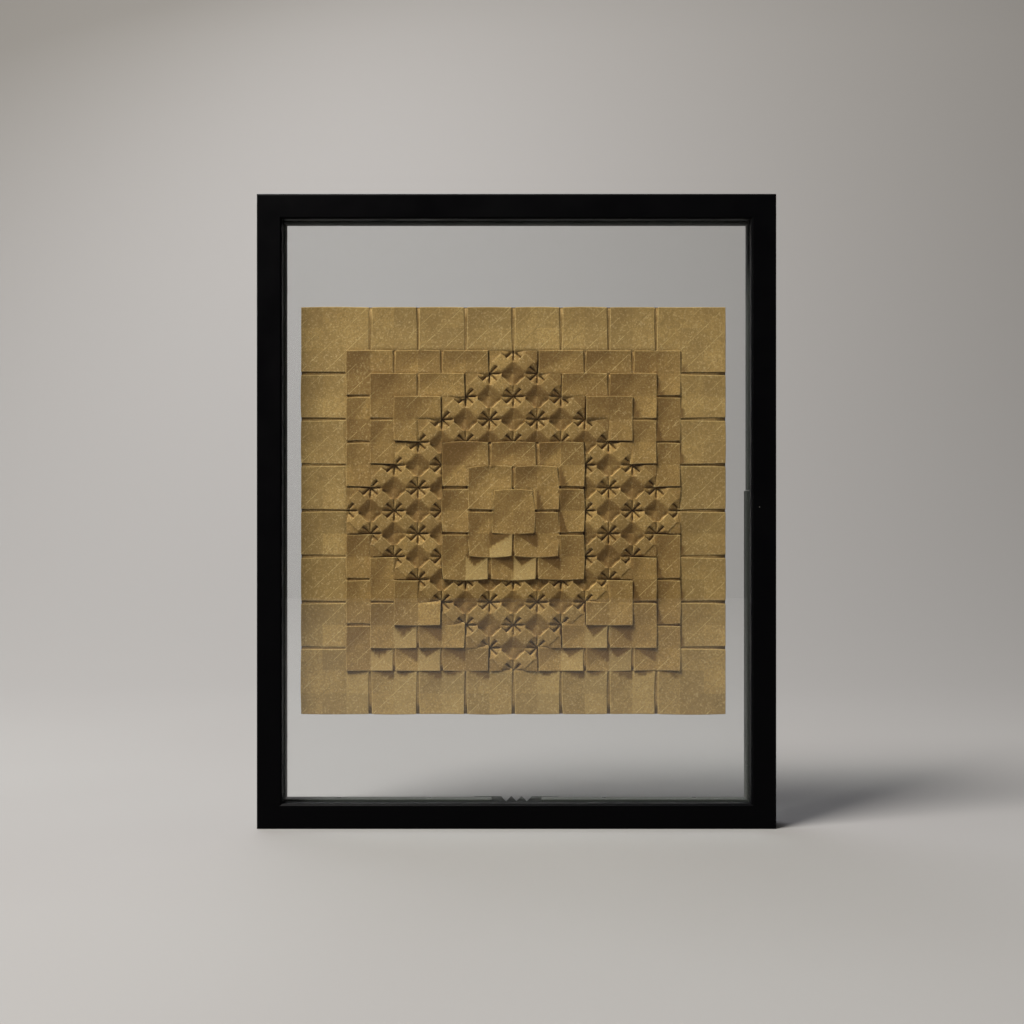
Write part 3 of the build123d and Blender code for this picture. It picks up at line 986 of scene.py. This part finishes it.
steps_x, steps_z = 1 / (pitch * MM)
grid_feeds = {
    "Vector": place,
    "Location": (-sheet_middle[0] * steps_x, LAYER_DRAW, -sheet_middle[2] * steps_z),
    "Scale": (steps_x, 0.0, steps_z),
}
grid = add(kraft, "ShaderNodeMapping", grid_feeds)
axes = add(kraft, "ShaderNodeSeparateXYZ", {0: grid}).node.outputs

diagonal = add(kraft, "ShaderNodeMath", {0: axes["X"], 1: axes["Z"]}, operation="SUBTRACT")
to_line = add(kraft, "ShaderNodeMath", {0: diagonal, 1: 0.5}, operation="PINGPONG")
line_width = CREASE_HALF_WIDTH * np.sqrt(2) / mean_pitch
crease_line = add(kraft, "ShaderNodeMapRange", {"Value": to_line, "From Min": line_width, "From Max": 0.0})
crease_dots = add(kraft, "ShaderNodeMath", {0: crease_line, 1: blots["crease_patch"]}, operation="MULTIPLY")
crease = add(kraft, "ShaderNodeMath", {0: crease_dots, 1: tile_value}, operation="MULTIPLY")
feeds = {0: blots["valley_fold"], FIRST_COLOUR: srgb("#cdb17a"), SECOND_COLOUR: srgb("#5f431c")}
crease_colour = add(kraft, "ShaderNodeMix", feeds, MIXED_COLOUR, data_type="RGBA")

cell = add(kraft, "ShaderNodeVectorMath", {0: grid}, operation="FLOOR")
cell_tone = add(kraft, "ShaderNodeTexWhiteNoise", {"Vector": cell}, noise_dimensions="3D")
layers = add(kraft, "ShaderNodeMath", {0: cell_tone, 1: front_value}, operation="MULTIPLY")

off_x, off_z = (add(kraft, "ShaderNodeMath", {0: axes[axis]}, operation="ABSOLUTE") for axis in "XZ")
from_centre = add(kraft, "ShaderNodeMath", {0: off_x, 1: off_z}, operation="MAXIMUM")
feeds = {"Value": from_centre, "From Min": BORDER_LINE[0], "From Max": BORDER_LINE[1]}
in_border = add(kraft, "ShaderNodeMapRange", feeds)
print("creases of", 2 * CREASE_HALF_WIDTH, "mm on", grid_feeds["Scale"][0].round(1), "steps to the metre")

# %% [markdown]
# ## Kraft paper: its colour and relief
#
# Each pattern lays its own colour over the ones before it, by a strength of its own, so the order is that
# of the real paper: pulp, layers, specks and fibres, creases, and last what handling has done to it, with
# the painted highlights and the painted shade. The surface is dull, with a slight tooth.

# %% Kraft paper: its colour and relief
# Paler where edges are rubbed and where a highlight is painted, darker where shade is painted
rubbed_and_painted_light = add(kraft, "ShaderNodeMapRange", {"Value": wear_and_painted_light_value, "From Min": 0.0, "From Max": 1.0})
shaded = add(kraft, "ShaderNodeMapRange", {"Value": wear_and_painted_light_value, "From Min": 0.0, "From Max": -1.0})
COLOUR_STEPS = [
    (blots["tone"], 1.0, srgb("#b08c51")),
    (blots["mottle"], 0.4, srgb("#74572d")),
    (layers, 0.65, srgb("#6f5228")),
    (blots["speckle"], 0.58, srgb("#6b4e23")),
    (blots["fleck"], 0.4, srgb("#d0b586")),
    (fibre, 0.45, srgb("#c4a872")),
    (crease, 0.85, crease_colour),
    (in_border, 0.08, srgb("#e0c88c")),
    (rubbed_and_painted_light, 0.45, srgb("#bea26c")),
    (shaded, 0.88, srgb("#55360c")),
]
paper_colour = srgb("#94723f")
for share, strength, colour in COLOUR_STEPS:
    amount = add(kraft, "ShaderNodeMath", {0: share, 1: strength}, operation="MULTIPLY")
    feeds = {0: amount, FIRST_COLOUR: paper_colour, SECOND_COLOUR: colour}
    paper_colour = add(kraft, "ShaderNodeMix", feeds, MIXED_COLOUR, data_type="RGBA")

TOOTH_SIZE = 0.4
TOOTH_DEPTH = 0.12
feeds = {"Vector": place, "Scale": per_metre(TOOTH_SIZE), "Detail": 2.0}
tooth = add(kraft, "ShaderNodeTexNoise", feeds)
relief = add(kraft, "ShaderNodeMath", {0: blots["mottle"], 1: 0.5, 2: tooth}, operation="MULTIPLY_ADD")
feeds = {"Height": relief, "Strength": 0.35, "Distance": TOOTH_DEPTH * MM}
paper_bump = add(kraft, "ShaderNodeBump", feeds)
feeds = {"Value": blots["mottle"], "To Min": 0.7, "To Max": 0.85}
paper_roughness = add(kraft, "ShaderNodeMapRange", feeds)
paper_feeds = {"Base Color": paper_colour, "Roughness": paper_roughness, "Normal": paper_bump}
paper_shader = add(kraft, "ShaderNodeBsdfPrincipled", {**paper_feeds, "Specular IOR Level": 0.25})
add(kraft, "ShaderNodeOutputMaterial", {"Surface": paper_shader})
paper_sheet.data.materials.append(kraft)
print("kraft paper in", len(COLOUR_STEPS), "colour steps")

# %% [markdown]
# ## Black lacquer
#
# The rails are thin wooden mouldings sprayed satin black, and the strips behind the glass are stained a
# dull black, which shows as a grey band. The wood's pores still tell through the finish along each piece,
# so the pattern is drawn out along X on the rails and along Z on the stiles. A few specks of dust sit on
# it.

# %% Black lacquer
# Real pores and dust are finer than this, and are drawn as coarse as the picture needs to show them
PORE_LENGTH = 55
PORE_WIDTH = 1.4
PORE_DEPTH = 0.05
HANDLED_SPOT = 17
DUST_SPACING = 14
DUST_SIZE = (0.012, 0.02)
ROUGHER_BY = 0.14
SATIN = {"colour": "#020203", "roughness": 0.4, "specular": 0.04}
DULL = {"colour": "#403f3e", "roughness": 0.6, "specular": 0.05}


def black_finish(name, along_x, colour, roughness, specular):
    """A black finish over close-grained wood that runs along X or along Z."""
    material = new_material(name)
    where = add(material, "ShaderNodeTexCoord", gives="Object")
    along, over = per_metre(PORE_LENGTH), per_metre(PORE_WIDTH)
    stretch = (along, over, over) if along_x else (over, over, along)
    drawn_out = add(material, "ShaderNodeMapping", {"Vector": where, "Scale": stretch})
    pores = add(material, "ShaderNodeTexNoise", {"Vector": drawn_out, "Scale": 1.0, "Detail": 3.0})
    feeds = {"Vector": where, "Scale": per_metre(HANDLED_SPOT), "Detail": 3.0}
    handling = add(material, "ShaderNodeTexNoise", feeds)
    specks = add(material, "ShaderNodeTexVoronoi", {"Vector": where, "Scale": per_metre(DUST_SPACING)})
    feeds = {"Value": specks, "From Min": DUST_SIZE[1], "From Max": DUST_SIZE[0]}
    dust = add(material, "ShaderNodeMapRange", feeds)
    feeds = {0: dust, FIRST_COLOUR: srgb(colour), SECOND_COLOUR: srgb("#77756f")}
    dusted = add(material, "ShaderNodeMix", feeds, MIXED_COLOUR, data_type="RGBA")
    feeds = {"Value": handling, "From Min": 0.3, "From Max": 0.7, "To Min": roughness}
    handled = add(material, "ShaderNodeMapRange", {**feeds, "To Max": roughness + ROUGHER_BY})
    bump = add(material, "ShaderNodeBump", {"Height": pores, "Strength": 0.25, "Distance": PORE_DEPTH * MM})
    feeds = {"Base Color": dusted, "Roughness": handled, "Normal": bump, "Specular IOR Level": specular}
    shader = add(material, "ShaderNodeBsdfPrincipled", feeds)
    add(material, "ShaderNodeOutputMaterial", {"Surface": shader})
    return material


def paint(material, *names):
    """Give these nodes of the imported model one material."""
    for name in names:
        for material_slot in nodes[name].material_slots:
            material_slot.material = material


paint(black_finish("black_lacquer_rail", True, **SATIN), "top_rail", "bottom_rail")
paint(black_finish("black_lacquer_stile", False, **SATIN), "left_stile", "right_stile")
strip_across = black_finish("dull_black_rail", True, **DULL)
paint(strip_across, "top_strip", "bottom_left_strip", "bottom_right_strip")
strip_upright = black_finish("dull_black_stile", False, **DULL)
paint(strip_upright, "left_strip", "right_upper_strip", "right_lower_strip")
print("frame and strips painted")

# %% [markdown]
# ## Glass
#
# Both panes are clear float glass, which is flat and clear with faint smears from cleaning. Rays between
# the paper and its light are let straight through, because bending every one of them would leave the
# paper in a noisy dark.

# %% Glass
SMEAR_SIZE = 55
SMEAR_ROUGHNESS = 0.03

glass = new_material("clear_glass")
glass_place = add(glass, "ShaderNodeTexCoord", gives="Object")
feeds = {"Vector": glass_place, "Scale": per_metre(SMEAR_SIZE), "Detail": 4.0}
smear_field = add(glass, "ShaderNodeTexNoise", feeds)
feeds = {"Value": smear_field, "From Min": 0.45, "From Max": 0.75, "To Max": SMEAR_ROUGHNESS}
smears = add(glass, "ShaderNodeMapRange", feeds)
feeds = {"Base Color": srgb("#f9fafa"), "Roughness": smears, "Transmission Weight": 1.0, "IOR": 1.5}
clear = add(glass, "ShaderNodeBsdfPrincipled", {**feeds, "Specular IOR Level": 0.25})
open_to_lamps = add(glass, "ShaderNodeBsdfTransparent", {"Color": srgb("#f4f8f6")})
path = add(glass, "ShaderNodeLightPath").node.outputs
feeds = {0: path["Is Shadow Ray"], 1: path["Is Diffuse Ray"]}
lit_through = add(glass, "ShaderNodeMath", feeds, operation="MAXIMUM")
pane = add(glass, "ShaderNodeMixShader", {0: lit_through, 1: clear, 2: open_to_lamps})
add(glass, "ShaderNodeOutputMaterial", {"Surface": pane})
paint(glass, "front_glass", "back_glass")
print("two panes glazed")

# %% [markdown]
# ## Steel
#
# The hanger is stamped from rolled steel strip, and the nails are drawn wire. Rolling and drawing leave
# fine scratches along the metal, which break its shine into a soft streak.

# %% Steel
# Real scratches are finer than this, and are drawn as coarse as the picture needs to show them
SCRATCH_LENGTH = 17
SCRATCH_WIDTH = 0.4
SCRATCH_DEPTH = 0.03

steel = new_material("dull_steel")
steel_place = add(steel, "ShaderNodeTexCoord", gives="Object")
stretch = (per_metre(SCRATCH_LENGTH), per_metre(SCRATCH_WIDTH), per_metre(SCRATCH_WIDTH))
drawn_out = add(steel, "ShaderNodeMapping", {"Vector": steel_place, "Scale": stretch})
scratch = add(steel, "ShaderNodeTexNoise", {"Vector": drawn_out, "Scale": 1.0, "Detail": 3.0})
bright = add(steel, "ShaderNodeMapRange", {"Value": scratch, "From Min": 0.35, "From Max": 0.7})
feeds = {0: bright, FIRST_COLOUR: srgb("#505050"), SECOND_COLOUR: srgb("#747473")}
steel_colour = add(steel, "ShaderNodeMix", feeds, MIXED_COLOUR, data_type="RGBA")
feeds = {"Value": scratch, "From Min": 0.3, "From Max": 0.7, "To Min": 0.35, "To Max": 0.55}
steel_roughness = add(steel, "ShaderNodeMapRange", feeds)
feeds = {"Height": scratch, "Strength": 0.3, "Distance": SCRATCH_DEPTH * MM}
steel_bump = add(steel, "ShaderNodeBump", feeds)
feeds = {"Base Color": steel_colour, "Metallic": 1.0, "Roughness": steel_roughness, "Normal": steel_bump}
steel_shader = add(steel, "ShaderNodeBsdfPrincipled", feeds)
add(steel, "ShaderNodeOutputMaterial", {"Surface": steel_shader})
paint(steel, "toothed_hanger", "hanger_nails", "strip_brads", "mitre_nails")
print("hanger and nails in steel")

# %% [markdown]
# ## The boxes
#
# The box of the dressed model is set beside the box of the solids, so that any growth shows.

# %% Compare the boxes and finish
new_low, new_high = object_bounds()
boxes = {"cad": [list(cad_low), list(cad_high)], "visual": [list(new_low), list(new_high)]}
growth = np.array(boxes["visual"]) - np.array(boxes["cad"])
print("box grew by", growth.round(5).tolist())
